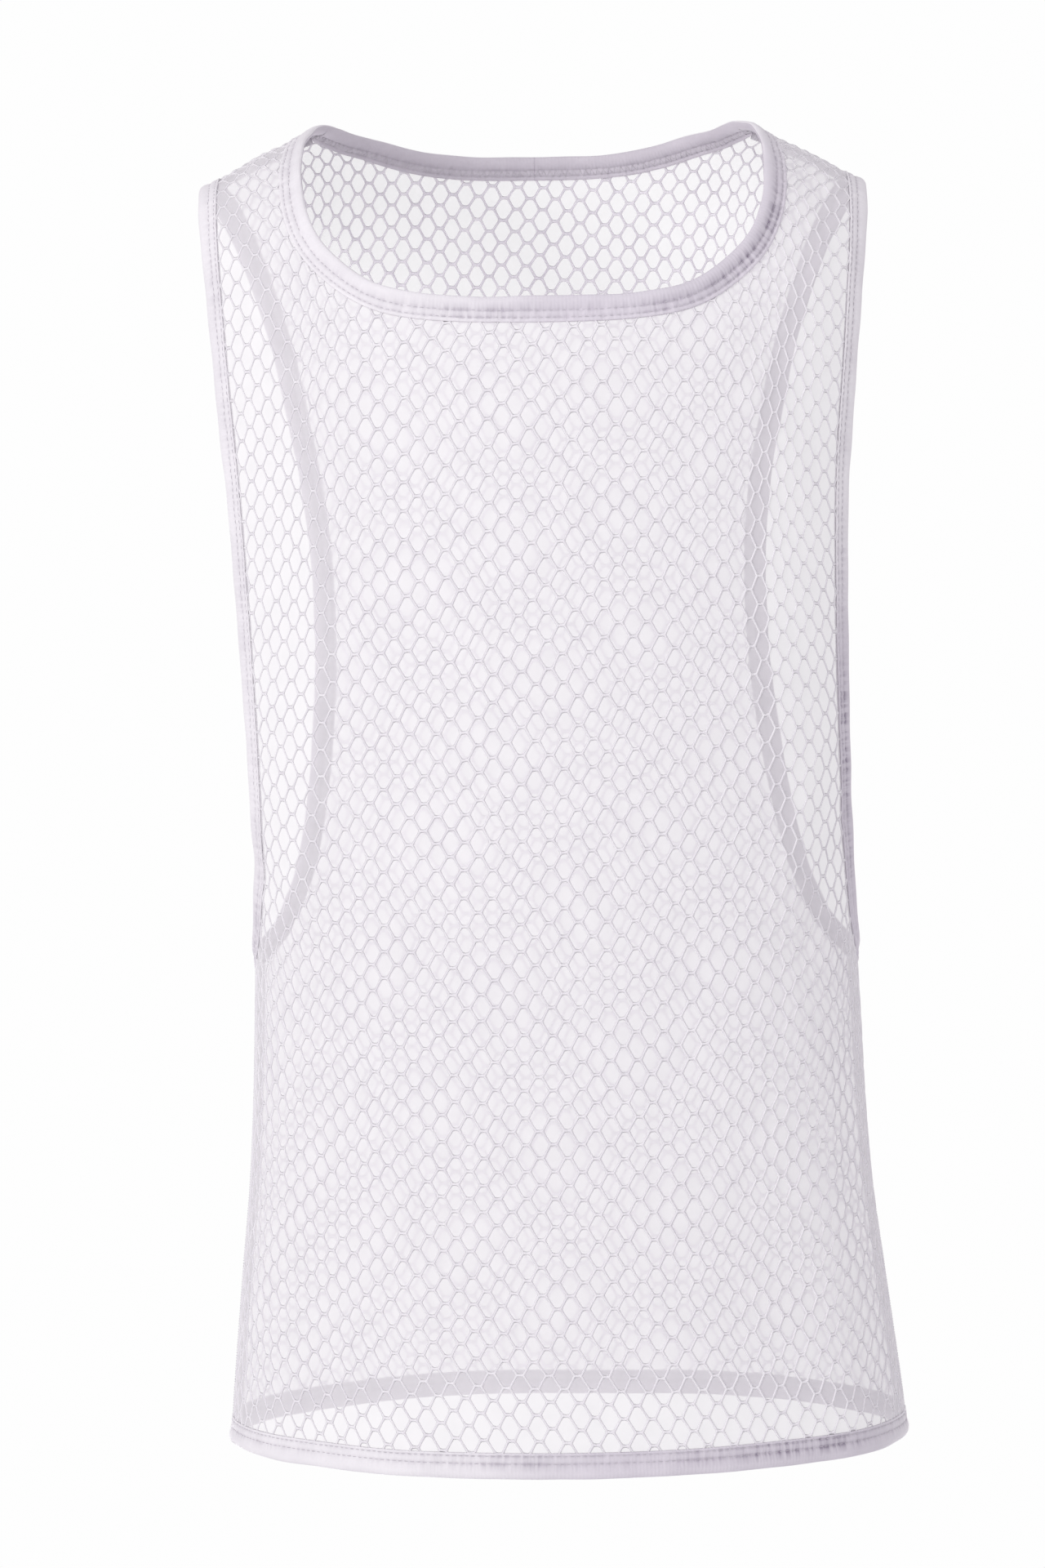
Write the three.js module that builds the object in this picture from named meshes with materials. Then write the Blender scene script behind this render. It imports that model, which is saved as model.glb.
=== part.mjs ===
// Sleeveless net tank top, filled out as on a wearer: deep dropped armholes, a wide scooped neck and a slightly flared hem.
// Six cut pieces: front, back, a neck binding, two armhole bindings and a hem binding, each one closed wall of cloth.
// Millimetres, +Z up, the chest faces -Y. The origin lies midway between the places where the straps rest on the shoulders.
// Every piece lies on one form. A place on the form is (side, turn, rise):
//   side  FRONT or BACK
//   turn  degrees round the body, from 0 at the centre line to 90 at the side seam, negative on the -X half
//   rise  from the armpit line: millimetres below it where it is negative, and above it the way up to the shoulder line
import * as THREE from "three";

const FRONT = -1;
const BACK = 1;
const HALVES = [-1, 1];

// Cloth and sewing
const NET_WALL = 1.6;
const BINDING_WALL = 2.4;
const BINDING_WIDTH = 13;
const BINDING_ROUND = 0.7; // how much a binding's folded edges are rounded
const GAP = 0.3; // between pieces that are sewn together
const SHOULDER_GAP_RISE = 0.25; // the rise that half the gap takes at the shoulder line

// Levels
const ARMPIT_Z = -130; // below it the cloth hangs, above it the straps close over the shoulder
const HEM_Z = -672;
const SHOULDER_RISE = 210; // rise at the shoulder line, where the cloth has turned by a quarter
const SHOULDER_Y = 4; // the shoulder line lies this far behind the origin

// The body's sections: how far the middle has swayed to +X, half the width, how far the front and back stand from the
// middle, and the power of the curve, where 2 is an ellipse and more is squarer. The last row only sets slopes.
const SECTIONS = [
  { z: -672, middle: 11.6, half: 177.0, front: 118, back: 118, power: 2.0 },
  { z: -648, middle: 11.2, half: 175.0, front: 117.5, back: 117, power: 2.02 },
  { z: -584, middle: 9.6, half: 168.0, front: 116, back: 114.5, power: 2.08 },
  { z: -541, middle: 8.8, half: 163.2, front: 115.5, back: 112.5, power: 2.12 },
  { z: -498, middle: 8.4, half: 160.3, front: 115, back: 110.5, power: 2.16 },
  { z: -455, middle: 8.1, half: 158.7, front: 115, back: 108.5, power: 2.2 },
  { z: -413, middle: 7.5, half: 157.6, front: 115.5, back: 107, power: 2.23 },
  { z: -347, middle: 5.8, half: 160.5, front: 116, back: 104.5, power: 2.27 },
  { z: -263, middle: 2.9, half: 165.0, front: 117, back: 102, power: 2.3 },
  { z: -179, middle: 0.5, half: 171.5, front: 116.5, back: 100, power: 2.3 },
  { z: -130, middle: 0, half: 177.0, front: 116, back: 99, power: 2.3 },
  { z: -81, middle: 0.5, half: 182.5, front: 116.5, back: 100, power: 2.3 },
];
const SHOULDER_SPREAD = 10.4; // the sections widen by this much from the armpit line to the shoulder line

// Height of the shoulder line above the origin, from the neck outwards
const SHOULDER_LINE = [
  { x: -60, z: 38 },
  { x: 0, z: 50 },
  { x: 60, z: 38 },
  { x: 107.5, z: 17.2 },
  { x: 143.6, z: 1.1 },
  { x: 175, z: -16 },
  { x: 190, z: -25 },
];

// The neck edge, from the front's centre over the shoulder to the back's centre, with one more row past each centre
const NECK_FRONT = [
  { x: -48.5, rise: 33 },
  { x: 0, rise: 30 },
  { x: 48.5, rise: 33 },
  { x: 79.5, rise: 42 },
  { x: 103, rise: 64 },
  { x: 114, rise: 90 },
  { x: 117.5, rise: 121 },
  { x: 116.5, rise: 154 },
  { x: 113, rise: 187 },
  { x: 107, rise: 210 },
];
const NECK_BACK = [
  { x: 107, rise: 210 },
  { x: 101, rise: 188 },
  { x: 91, rise: 168 },
  { x: 67, rise: 141 },
  { x: 36, rise: 126 },
  { x: 0, rise: 121 },
  { x: -36, rise: 126 },
];
const NECK_CORNER = { front: 4.2, back: 3.7 }; // the row where the strap begins, counted from the centre's end of the table

// The armhole edge, from the side seam up the front to the shoulder, and down the back to the seam
const ARM_FRONT = [
  { turn: 90, rise: -283 },
  { turn: 84, rise: -278 },
  { turn: 78, rise: -262 },
  { turn: 73, rise: -222 },
  { turn: 68.8, rise: -133 },
  { turn: 65.8, rise: -30 },
  { turn: 65.4, rise: 42 },
  { turn: 66.8, rise: 107 },
  { turn: 67.9, rise: 165 },
  { turn: 68.2, rise: 210 },
];
const ARM_BACK = [
  { turn: 68.2, rise: 210 },
  { turn: 66.7, rise: 178 },
  { turn: 62, rise: 142 },
  { turn: 54.5, rise: 80 },
  { turn: 48, rise: 12 },
  { turn: 45, rise: -75 },
  { turn: 48.5, rise: -160 },
  { turn: 57, rise: -232 },
  { turn: 68, rise: -266 },
  { turn: 79, rise: -279 },
  { turn: 90, rise: -283 },
];
const ARM_CORNER = { front: 6.3, back: 7.2 }; // the row where the strap begins, counted from the side seam

// Soft folds that run down the cloth: turn and spread in degrees, depth in millimetres outwards, and the z where each
// starts and where it is full
const FOLDS = [
  { side: FRONT, turn: -47, spread: 11, depth: -3.2, from: -330, full: -560 },
  { side: FRONT, turn: -30, spread: 10, depth: 1.8, from: -380, full: -640 },
  { side: FRONT, turn: 36, spread: 12, depth: -2.4, from: -430, full: -640 },
  { side: FRONT, turn: 58, spread: 9, depth: 2.6, from: -400, full: -620 },
  { side: BACK, turn: -52, spread: 12, depth: -3.4, from: -300, full: -560 },
  { side: BACK, turn: -22, spread: 12, depth: 2.8, from: -220, full: -600 },
  { side: BACK, turn: 6, spread: 11, depth: -4.2, from: -180, full: -520 },
  { side: BACK, turn: 33, spread: 11, depth: 3.0, from: -260, full: -620 },
  { side: BACK, turn: 60, spread: 10, depth: -2.6, from: -340, full: -600 },
];

// How finely the pieces are divided
const STEPS = {
  neckBottom: { front: 12, back: 10 }, // from the centre line to the strap, on each half
  strapAcross: 3,
  strapLength: { front: 8, back: 5 },
  armhole: { front: 24, back: 26 }, // from the side seam to the strap
  seam: 12, // from the hem up to the armhole
};
// The line that divides a panel's mesh runs this far under the armhole, and rises to it at the seam ever more steeply
const WAIST_DIP = 34;
const WAIST_POWER = 4;
const EDGE_SAMPLES = 160; // along an edge while its places are spaced
const WALK_HOPS = 6; // on the way from an edge into the cloth
const SLOPE_STEP = 0.05; // degrees and millimetres, to measure how the form runs
const TINY = 1e-6;

// Points inside the neck opening and beside each armhole's middle: the cloth lies away from them
const NECK_MIDDLE = new THREE.Vector3(0, 0, 150);
const ARMHOLE_MIDDLE = { y: 20, z: -210 };

const nameOf = (side) => (side === FRONT ? "front" : "back");
const radians = (degrees) => (degrees * Math.PI) / 180;
const signedPower = (value, power) => Math.sign(value) * Math.abs(value) ** power;
const mix = (a, b, t) => a + (b - a) * t;

// The value of column `value` where column `key` is `at`, on a smooth curve through the table's rows
function readTable(rows, key, value, at) {
  const last = rows.length - 1;
  let i = 0;
  while (i < last - 1 && (at - rows[i + 1][key]) * Math.sign(rows[last][key] - rows[0][key]) > 0) i++;
  const slope = (k) => {
    const before = rows[Math.max(0, k - 1)];
    const after = rows[Math.min(last, k + 1)];
    return (after[value] - before[value]) / (after[key] - before[key]);
  };
  const run = rows[i + 1][key] - rows[i][key];
  const t = THREE.MathUtils.clamp((at - rows[i][key]) / run, 0, 1);
  const t2 = t * t;
  const t3 = t2 * t;
  return (
    (2 * t3 - 3 * t2 + 1) * rows[i][value] +
    (t3 - 2 * t2 + t) * run * slope(i) +
    (3 * t2 - 2 * t3) * rows[i + 1][value] +
    (t3 - t2) * run * slope(i + 1)
  );
}

const levelOf = (rise) => ARMPIT_Z + Math.min(rise, 0);

function halfWidth(rise) {
  const t = Math.max(rise, 0) / SHOULDER_RISE;
  return readTable(SECTIONS, "z", "half", levelOf(rise)) + SHOULDER_SPREAD * t * (2 - t);
}

const powerOf = (rise) => readTable(SECTIONS, "z", "power", levelOf(rise));

const turnOf = (x, rise) =>
  THREE.MathUtils.radToDeg(Math.asin(Math.min(1, (x / halfWidth(rise)) ** (powerOf(rise) / 2))));

function foldAt(side, turn, z) {
  let depth = 0;
  for (const fold of FOLDS) {
    if (fold.side !== side) continue;
    const across = (turn - fold.turn) / fold.spread;
    const down = THREE.MathUtils.smoothstep(-z, -fold.from, -fold.full);
    depth += fold.depth * down * Math.exp(-across * across);
  }
  return depth;
}

// The form's point at a place
function formPoint(side, turn, rise) {
  const z = levelOf(rise);
  const bend = 2 / powerOf(rise);
  const depth = readTable(SECTIONS, "z", nameOf(side), z) + foldAt(side, turn, z);
  const x = readTable(SECTIONS, "z", "middle", z) + halfWidth(rise) * signedPower(Math.sin(radians(turn)), bend);
  const y = side * depth * signedPower(Math.cos(radians(turn)), bend);
  if (rise < 0) return new THREE.Vector3(x, y, z);
  const top = readTable(SHOULDER_LINE, "x", "z", Math.abs(x));
  const lift = radians((90 * rise) / SHOULDER_RISE);
  return new THREE.Vector3(x, mix(SHOULDER_Y, y, Math.cos(lift)), mix(ARMPIT_Z, top, Math.sin(lift)));
}

// How the form's point moves as turn and as rise grow
function formSlopes(side, turn, rise) {
  const along = (dTurn, dRise) =>
    formPoint(side, turn + dTurn, rise + dRise)
      .sub(formPoint(side, turn - dTurn, rise - dRise))
      .divideScalar(2 * SLOPE_STEP);
  return { byTurn: along(SLOPE_STEP, 0), byRise: along(0, SLOPE_STEP) };
}

function outward(side, turn, rise) {
  const { byTurn, byRise } = formSlopes(side, turn, rise);
  return byTurn.cross(byRise).multiplyScalar(-side).normalize();
}

// The place reached by walking over the form from a place, `distance` in direction `heading`
function walk(place, heading, distance) {
  let { turn, rise } = place;
  for (let hop = 0; hop < WALK_HOPS; hop++) {
    const { byTurn, byRise } = formSlopes(place.side, turn, rise);
    const normal = byTurn.clone().cross(byRise).normalize();
    const ahead = heading.clone().addScaledVector(normal, -heading.dot(normal)).setLength(distance / WALK_HOPS);
    const tt = byTurn.dot(byTurn);
    const tr = byTurn.dot(byRise);
    const rr = byRise.dot(byRise);
    const det = tt * rr - tr * tr;
    const at = ahead.dot(byTurn);
    const ar = ahead.dot(byRise);
    turn += (at * rr - ar * tr) / det;
    rise += (ar * tt - at * tr) / det;
  }
  return { side: place.side, turn, rise };
}

const pointAt = (place) => formPoint(place.side, place.turn, place.rise);
const mirrored = (place) => ({ ...place, turn: -place.turn });

// `count` + 1 places, evenly spaced over the form, along the smooth line through table rows from row `start` to row `end`
function spacedAlong(side, rows, start, end, count) {
  const numbered = rows.map((row, index) => ({ index, ...row }));
  const places = [];
  const lengths = [0];
  for (let k = 0; k <= EDGE_SAMPLES; k++) {
    const index = mix(start, end, k / EDGE_SAMPLES);
    const rise = readTable(numbered, "index", "rise", index);
    const turn =
      "turn" in rows[0]
        ? readTable(numbered, "index", "turn", index)
        : turnOf(Math.max(0, readTable(numbered, "index", "x", index)), rise);
    places.push({ side, turn, rise });
    if (k) lengths.push(lengths[k - 1] + pointAt(places[k]).distanceTo(pointAt(places[k - 1])));
  }
  return Array.from({ length: count + 1 }, (_, n) => {
    const goal = (lengths[EDGE_SAMPLES] * n) / count;
    let k = 1;
    while (k < EDGE_SAMPLES && lengths[k] < goal) k++;
    const t = (goal - lengths[k - 1]) / (lengths[k] - lengths[k - 1]);
    return {
      side,
      turn: mix(places[k - 1].turn, places[k].turn, t),
      rise: mix(places[k - 1].rise, places[k].rise, t),
    };
  });
}

// A closed edge of the garment as places on the form, and for each the direction into the cloth, which is on the hint's side
function closedEdge(places, inwardHint) {
  const count = places.length;
  return places.map((place, k) => {
    const before = pointAt(places[(k + count - 1) % count]);
    const after = pointAt(places[(k + 1) % count]);
    const tangent = after.sub(before).normalize();
    const inward = tangent.cross(outward(place.side, place.turn, place.rise)).normalize();
    if (inward.dot(inwardHint(pointAt(place))) < 0) inward.negate();
    const onSeam = Math.abs(place.rise - SHOULDER_RISE) < TINY || Math.abs(place.turn - 90) < TINY;
    if (onSeam) inward.setY(0).normalize(); // both seams lie in a plane that faces forwards
    return { place, inward };
  });
}

// Closed solid from rings of points: each ring is a closed section, and the rings close on themselves
function ringSolid(rings) {
  const across = rings[0].length;
  const positions = rings.flat().flatMap((p) => p.toArray());
  const index = [];
  rings.forEach((_, i) => {
    const next = (i + 1) % rings.length;
    for (let j = 0; j < across; j++) {
      const k = (j + 1) % across;
      const [a, b, c, d] = [i * across + j, next * across + j, next * across + k, i * across + k];
      index.push(a, b, c, a, c, d);
    }
  });
  return solidGeometry(positions, index);
}

// Geometry with its faces turned outwards
function solidGeometry(positions, index) {
  const corner = (i) => new THREE.Vector3().fromArray(positions, 3 * index[i]);
  let volume = 0;
  for (let i = 0; i < index.length; i += 3) volume += corner(i).dot(corner(i + 1).cross(corner(i + 2)));
  if (volume < 0) for (let i = 0; i < index.length; i += 3) [index[i], index[i + 1]] = [index[i + 1], index[i]];
  const geometry = new THREE.BufferGeometry();
  geometry.setAttribute("position", new THREE.Float32BufferAttribute(positions, 3));
  geometry.setIndex(index);
  geometry.computeVertexNormals();
  return geometry;
}

// A wall of cloth over quads of places: corners are keyed places, and the rim is closed where a quad has no neighbour
function wallSolid(grids, thickness) {
  const places = [];
  const numbers = new Map();
  const numberOf = (place) => {
    const key = `${place.turn.toFixed(4)} ${place.rise.toFixed(4)}`;
    if (!numbers.has(key)) {
      numbers.set(key, places.length);
      places.push(place);
    }
    return numbers.get(key);
  };
  const quads = [];
  for (const grid of grids)
    for (let j = 0; j + 1 < grid.length; j++)
      for (let i = 0; i + 1 < grid[j].length; i++)
        quads.push([grid[j][i], grid[j][i + 1], grid[j + 1][i + 1], grid[j + 1][i]].map(numberOf));
  const positions = [];
  for (const lift of [thickness / 2, -thickness / 2])
    for (const place of places)
      positions.push(
        ...pointAt(place)
          .addScaledVector(outward(place.side, place.turn, place.rise), lift)
          .toArray(),
      );
  const inner = places.length;
  const edges = new Set();
  const index = [];
  for (const quad of quads) {
    const [a, b, c, d] = quad;
    index.push(a, b, c, a, c, d, inner + a, inner + c, inner + b, inner + a, inner + d, inner + c);
    quad.forEach((from, k) => edges.add(`${from} ${quad[(k + 1) % 4]}`));
  }
  for (const edge of edges) {
    const [from, to] = edge.split(" ").map(Number);
    if (!edges.has(`${to} ${from}`)) index.push(from, inner + from, inner + to, from, inner + to, to);
  }
  return solidGeometry(positions, index);
}

// Places filled in between four sides of a block, each side a list of places that share their corners
function fillBlock({ bottom, top, left, right }) {
  const columns = bottom.length - 1;
  const rows = left.length - 1;
  return left.map((_, j) =>
    bottom.map((__, i) => {
      const s = i / columns;
      const t = j / rows;
      const blend = (key) =>
        mix(bottom[i][key], top[i][key], t) +
        mix(left[j][key], right[j][key], s) -
        mix(mix(bottom[0][key], bottom[columns][key], s), mix(top[0][key], top[columns][key], s), t);
      return { side: left[j].side, turn: blend("turn"), rise: blend("rise") };
    }),
  );
}

// The garment's edges on the +X half, from table rows: the neck from the centre line, the armhole from the side seam
function halfEdges(side) {
  const name = nameOf(side);
  const fromCentre = side === FRONT ? NECK_FRONT : [...NECK_BACK].reverse();
  const fromSeam = side === FRONT ? ARM_FRONT : [...ARM_BACK].reverse();
  const join = (first, second) => [...first, ...second.slice(1)];
  return {
    neck: join(
      spacedAlong(side, fromCentre, 1, NECK_CORNER[name], STEPS.neckBottom[name]),
      spacedAlong(side, fromCentre, NECK_CORNER[name], fromCentre.length - 1, STEPS.strapLength[name]),
    ),
    arm: join(
      spacedAlong(side, fromSeam, 0, ARM_CORNER[name], STEPS.armhole[name]),
      spacedAlong(side, fromSeam, ARM_CORNER[name], fromSeam.length - 1, STEPS.strapLength[name]),
    ),
  };
}

const edges = { front: halfEdges(FRONT), back: halfEdges(BACK) };

// Closed edges: the neck runs centre front, +X shoulder, centre back, -X shoulder. The +X armhole runs seam, front,
// shoulder, back.
const neckHalf = [...edges.front.neck, ...[...edges.back.neck].reverse().slice(1)];
const neckEdge = closedEdge(
  [...neckHalf, ...neckHalf.slice(1, -1).reverse().map(mirrored)],
  (point) => point.clone().sub(NECK_MIDDLE),
);
const armEdge = closedEdge(
  [...edges.front.arm, ...[...edges.back.arm].reverse().slice(1, -1)],
  (point) => new THREE.Vector3(0, point.y - ARMHOLE_MIDDLE.y, point.z - ARMHOLE_MIDDLE.z),
);

// The places `depth` into the cloth from a closed edge
const insetEdge = (edge, depth) => edge.map(({ place, inward }) => (depth > 0 ? walk(place, inward, depth) : place));

// A binding's section, folded over the edge: how far each line of it lies into the cloth, and its share of the wall outwards
const BINDING_SECTION = [
  { into: 0, out: 0.45 },
  { into: BINDING_ROUND, out: 1 },
  { into: BINDING_WIDTH / 2, out: 1 },
  { into: BINDING_WIDTH - BINDING_ROUND, out: 1 },
  { into: BINDING_WIDTH, out: 0.6 },
];

// One section of a binding, from its lines' places
function bindingRing(places) {
  const line = (sign) =>
    places.map((place, k) =>
      pointAt(place).addScaledVector(
        outward(place.side, place.turn, place.rise),
        (sign * BINDING_SECTION[k].out * BINDING_WALL) / 2,
      ),
    );
  return [...line(1), ...line(-1).reverse()];
}

function bindingSolid(edge, mirror) {
  const lines = BINDING_SECTION.map(({ into }) => insetEdge(edge, into));
  const placed = mirror ? lines.map((line) => line.map(mirrored)) : lines;
  return ringSolid(edge.map((_, k) => bindingRing(placed.map((line) => line[k]))));
}

// Panels stop short of their seams by half the gap: the last turn at the side, and the last rise at the shoulder
const sideTurn = (side, rise) =>
  THREE.MathUtils.radToDeg(
    Math.acos((GAP / 2 / readTable(SECTIONS, "z", nameOf(side), levelOf(rise))) ** (powerOf(rise) / 2)),
  );
const SHOULDER_STOP = SHOULDER_RISE - SHOULDER_GAP_RISE;

// Panel: one block under the armhole, one between the neck and the armhole, and one for each strap, on each half
function panelSolid(side) {
  const name = nameOf(side);
  const { neckBottom, strapAcross, strapLength, armhole, seam } = STEPS;
  const across = neckBottom[name] + strapAcross;
  const neckCount = neckBottom[name] + strapLength[name];
  const armCount = armhole[name] + strapLength[name];
  const neckLine = insetEdge(neckEdge, BINDING_WIDTH + GAP).slice(0, neckHalf.length);
  const armLine = insetEdge(armEdge, BINDING_WIDTH + GAP);
  const fromCentre = side === FRONT ? neckLine : neckLine.reverse();
  const fromSeam = side === FRONT ? armLine : [armLine[0], ...armLine.slice(1).reverse()];
  const neck = fromCentre.slice(0, neckCount + 1).map((place) => ({ ...place, side }));
  const arm = fromSeam.slice(0, armCount + 1).map((place) => ({ ...place, side }));
  neck[0].turn = 0;
  arm[0].turn = sideTurn(side, arm[0].rise);
  neck[neckCount].rise = SHOULDER_STOP;
  arm[armCount].rise = SHOULDER_STOP;

  const between = (a, b, count) =>
    Array.from({ length: count + 1 }, (_, k) => ({
      side,
      turn: mix(a.turn, b.turn, k / count),
      rise: mix(a.rise, b.rise, k / count),
    }));
  const hemRise = HEM_Z - ARMPIT_Z + BINDING_WIDTH + GAP;
  const hem = between({ turn: 0, rise: hemRise }, { turn: sideTurn(side, hemRise), rise: hemRise }, across);
  const waist = between({ turn: 0, rise: arm[0].rise }, arm[0], across).map((place, k) => ({
    ...place,
    rise: place.rise - WAIST_DIP * (1 - (k / across) ** WAIST_POWER),
  }));
  const strapRoot = between(neck[neckBottom[name]], arm[armhole[name]], strapAcross);
  const blocks = [
    fillBlock({
      bottom: hem,
      top: waist,
      left: between(hem[0], waist[0], seam),
      right: between(hem[across], waist[across], seam),
    }),
    fillBlock({
      bottom: waist,
      top: [...neck.slice(0, neckBottom[name]), ...strapRoot],
      left: between(waist[0], neck[0], armhole[name]),
      right: arm.slice(0, armhole[name] + 1),
    }),
    fillBlock({
      bottom: strapRoot,
      top: between(neck[neckCount], arm[armCount], strapAcross),
      left: neck.slice(neckBottom[name]),
      right: arm.slice(armhole[name]),
    }),
  ];
  const flipped = (block) => block.map((row) => [...row].reverse().map(mirrored));
  return wallSolid([...blocks, ...blocks.map(flipped)], NET_WALL);
}

// The hem's edge, all round: the front from the -X seam to the +X seam, then the back
const hemQuarter = (side, count) =>
  Array.from({ length: count + 1 }, (_, k) => ({ side, turn: (90 * k) / count, rise: HEM_Z - ARMPIT_Z }));
function hemEdge() {
  const { neckBottom, strapAcross } = STEPS;
  const front = hemQuarter(FRONT, neckBottom.front + strapAcross);
  const back = hemQuarter(BACK, neckBottom.back + strapAcross);
  const half = [...front, ...[...back].reverse().slice(1)];
  return closedEdge([...half, ...half.slice(1, -1).reverse().map(mirrored)], () => new THREE.Vector3(0, 0, 1));
}

const NET_LOOK = { color: 0xf0edf2, roughness: 0.72, metalness: 0 };
const JERSEY_LOOK = { color: 0xf2eff4, roughness: 0.6, metalness: 0 };

const garment = new THREE.Group();
garment.name = "net_tank_top";
const add = (name, geometry, look) => {
  const mesh = new THREE.Mesh(geometry, new THREE.MeshStandardMaterial(look));
  mesh.name = name;
  garment.add(mesh);
};
add("front_panel", panelSolid(FRONT), NET_LOOK);
add("back_panel", panelSolid(BACK), NET_LOOK);
add("neck_binding", bindingSolid(neckEdge), JERSEY_LOOK);
for (const half of HALVES)
  add(half < 0 ? "armhole_binding_right" : "armhole_binding_left", bindingSolid(armEdge, half < 0), JERSEY_LOOK);
add("hem_binding", bindingSolid(hemEdge()), JERSEY_LOOK);

export default garment;
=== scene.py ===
"""The net tank top's looks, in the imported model's frame.

Every piece lies on the form that the CAD solids are made on, so the form's tables are repeated here, in
millimetres. A place on the form is a side (FRONT or BACK), a turn (degrees round the body, 0 at the
centre line, 90 at the side seam, negative on the -X half) and a rise (below the armpit line in
millimetres, above it up to SHOULDER_RISE at the shoulder line). A line of places is three arrays: side,
turn, rise.
"""

import math

import bpy
import numpy as np
from mathutils import Matrix, Vector


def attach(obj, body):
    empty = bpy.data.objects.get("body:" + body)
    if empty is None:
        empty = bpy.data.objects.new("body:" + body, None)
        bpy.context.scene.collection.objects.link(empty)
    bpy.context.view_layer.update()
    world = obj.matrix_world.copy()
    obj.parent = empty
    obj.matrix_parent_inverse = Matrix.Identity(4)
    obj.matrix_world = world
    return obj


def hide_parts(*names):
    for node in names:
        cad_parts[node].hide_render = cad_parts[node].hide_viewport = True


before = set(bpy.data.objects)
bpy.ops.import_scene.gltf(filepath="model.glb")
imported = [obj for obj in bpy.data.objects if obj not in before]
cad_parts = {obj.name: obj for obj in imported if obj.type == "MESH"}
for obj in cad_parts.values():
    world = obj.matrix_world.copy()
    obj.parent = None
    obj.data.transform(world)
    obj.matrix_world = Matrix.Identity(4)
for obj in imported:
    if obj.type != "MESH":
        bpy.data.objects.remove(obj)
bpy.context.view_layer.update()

MM = 0.001
FRONT, BACK = -1, 1


def table(columns, rows):
    """Named columns, sorted by the first one."""
    values = np.array(sorted(rows), float).T
    return dict(zip(columns.split(), values))


def listed(columns, rows):
    """Named columns in the order given, with the row number as a column."""
    values = dict(zip(columns.split(), np.array(rows, float).T))
    values["row"] = np.arange(len(rows), dtype=float)
    return values


# ---- the form
NET_THICK = 1.15
BINDING_WIDTH = 13.0
ARMPIT_Z = -130.0
HEM_Z = -672.0
SHOULDER_RISE = 210.0
SHOULDER_Y = 4.0
SHOULDER_SPREAD = 10.4

SECTIONS = table(
    "z middle half front back power",
    [
        (-672, 11.6, 177.0, 118, 118, 2.0),
        (-648, 11.2, 175.0, 117.5, 117, 2.02),
        (-584, 9.6, 168.0, 116, 114.5, 2.08),
        (-541, 8.8, 163.2, 115.5, 112.5, 2.12),
        (-498, 8.4, 160.3, 115, 110.5, 2.16),
        (-455, 8.1, 158.7, 115, 108.5, 2.2),
        (-413, 7.5, 157.6, 115.5, 107, 2.23),
        (-347, 5.8, 160.5, 116, 104.5, 2.27),
        (-263, 2.9, 165.0, 117, 102, 2.3),
        (-179, 0.5, 171.5, 116.5, 100, 2.3),
        (-130, 0, 177.0, 116, 99, 2.3),
        (-81, 0.5, 182.5, 116.5, 100, 2.3),
    ],
)
SHOULDER_LINE = table(
    "x z", [(-60, 38), (0, 50), (60, 38), (107.5, 17.2), (143.6, 1.1), (175, -16), (190, -25)]
)
# The neck edge from the centre line to the shoulder, by x, with one row past the centre
NECK = {
    FRONT: listed(
        "x rise",
        [
            (-48.5, 33), (0, 30), (48.5, 33), (79.5, 42), (103, 64),
            (114, 90), (117.5, 121), (116.5, 154), (113, 187), (107, 210),
        ],
    ),
    BACK: listed("x rise", [(-36, 126), (0, 121), (36, 126), (67, 141), (91, 168), (101, 188), (107, 210)]),
}
# The armhole edge from the side seam to the shoulder, by turn
ARM = {
    FRONT: listed(
        "turn rise",
        [
            (90, -283), (84, -278), (78, -262), (73, -222), (68.8, -133),
            (65.8, -30), (65.4, 42), (66.8, 107), (67.9, 165), (68.2, 210),
        ],
    ),
    BACK: listed(
        "turn rise",
        [
            (90, -283), (79, -279), (68, -266), (57, -232), (48.5, -160), (45, -75),
            (48, 12), (54.5, 80), (62, 142), (66.7, 178), (68.2, 210),
        ],
    ),
}
# side, turn, spread, depth, where it starts and where it is full
FOLDS = [
    (FRONT, -47, 11, -3.2, -330, -560),
    (FRONT, -30, 10, 1.8, -380, -640),
    (FRONT, 36, 12, -2.4, -430, -640),
    (FRONT, 58, 9, 2.6, -400, -620),
    (BACK, -52, 12, -3.4, -300, -560),
    (BACK, -22, 12, 2.8, -220, -600),
    (BACK, 6, 11, -4.2, -180, -520),
    (BACK, 33, 11, 3.0, -260, -620),
    (BACK, 60, 10, -2.6, -340, -600),
]
# Shallow creases that only the cloth's surface has: side, turn and rise of the middle, the direction it
# runs in (degrees from upwards, positive towards +turn), its half length and half width in millimetres,
# and its depth
CREASES = [
    (FRONT, 58, -250, 38, 60, 9, -1.3),
    (FRONT, 49, -215, 30, 48, 8, 1.0),
    (FRONT, -60, -262, -42, 66, 10, -1.5),
    (FRONT, -50, -300, -30, 52, 9, 0.9),
    (FRONT, 40, 10, -24, 44, 10, -0.8),
    (FRONT, -38, 26, 20, 52, 9, -0.9),
    (FRONT, -46, 150, 6, 46, 7, 1.1),
    (FRONT, 47, 128, -8, 52, 8, -0.9),
    (FRONT, 20, -330, 8, 90, 14, -0.9),
    (FRONT, -8, -420, -5, 80, 15, 0.9),
    (FRONT, 64, -380, 12, 74, 9, -1.2),
    (BACK, 60, -300, 34, 62, 9, -1.4),
    (BACK, -62, -290, -30, 58, 9, -1.2),
    (BACK, 30, 20, -20, 60, 11, -1.0),
    (BACK, -28, -20, 16, 70, 12, 0.9),
    (BACK, 12, -330, -6, 86, 13, -1.1),
    (BACK, -40, 120, 10, 44, 8, -0.9),
]
MM_PER_DEGREE = 2.2  # millimetres round the body, near enough for where a crease lies
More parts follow.
